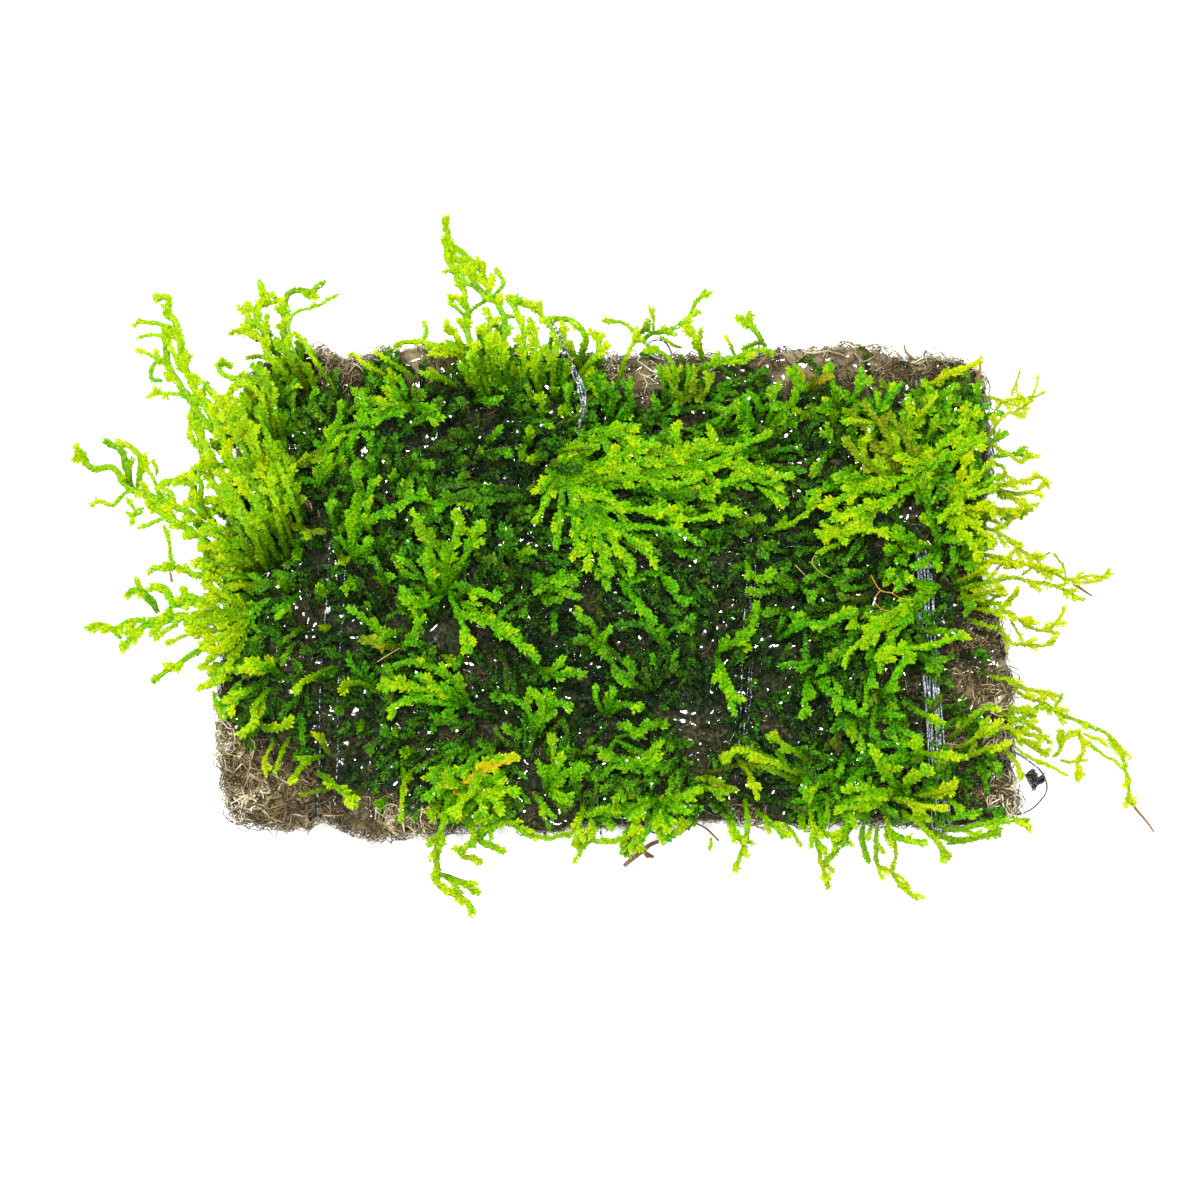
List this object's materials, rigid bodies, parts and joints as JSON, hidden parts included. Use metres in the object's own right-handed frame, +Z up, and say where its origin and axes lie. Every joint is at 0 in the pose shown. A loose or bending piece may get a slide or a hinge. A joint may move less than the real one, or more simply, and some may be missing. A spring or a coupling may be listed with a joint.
{
  "type": "flame moss on a fibre mat",
  "caption": "Flat rectangular pad of coarse fibre, bound with nylon line, with a bed of moss on top and leafy fronds that reach past its edges and droop.",
  "frame": {"origin": "middle of the fibre mat's flat underside, on the surface that it rests on", "axes": "+Z up, out of the mossy side; +X along the mat's length; +Y across the mat, towards the edge with the tall upright frond"},
  "size_m": [0.1827, 0.1172, 0.021],
  "materials": {
    "fibre": "coarse curled fibre, wet",
    "line": "thin nylon line, wet and glossy",
    "moss": "fine overlapping leaves, wet",
    "moss_bed": "dense low leaves, wet",
    "twig": "dead stem, damp"
  },
  "bodies": {
    "root": {"fibre_mat": "fibre", "fibre_lump": "fibre", "tie_left": "line", "tie_middle": "line", "tie_right": "line", "tie_right_end": "line", "tie_loose_end": "line", "dead_twig": "twig", "bed_left_back": "moss_bed", "bed_left_front": "moss_bed", "bed_middle_left_back": "moss_bed", "bed_middle_left_front": "moss_bed", "bed_middle_back": "moss_bed", "bed_middle_front": "moss_bed", "bed_centre_back": "moss_bed", "bed_centre_front": "moss_bed", "bed_right_back": "moss_bed", "bed_right_front": "moss_bed", "bed_right_end": "moss_bed", "bed_right_end_front": "moss_bed", "frond_left_tall": "moss", "frond_left_shoulder": "moss", "frond_top_left": "moss", "frond_top_left_hook": "moss", "frond_top_edge": "moss", "frond_peak_left": "moss", "frond_peak_right": "moss", "frond_arch": "moss", "frond_top_middle": "moss", "frond_antler": "moss", "frond_top_right": "moss", "frond_top_right_corner": "moss", "frond_right_thin": "moss", "frond_right_knobs": "moss", "frond_right_long": "moss", "frond_right_reach": "moss", "frond_right_curve": "moss", "frond_right_low": "moss", "frond_right_trail": "moss", "frond_bottom_right": "moss", "frond_bottom_loop": "moss", "frond_bottom_spike": "moss", "frond_bottom_middle": "moss", "frond_bottom_centre": "moss", "frond_bottom_left": "moss", "frond_bottom_arch": "moss", "frond_left_reach": "moss", "frond_left_crown": "moss", "frond_left_arm": "moss", "frond_left_low": "moss", "frond_left_bottom": "moss", "frond_front_prongs": "moss"}
  },
  "joints": []
}
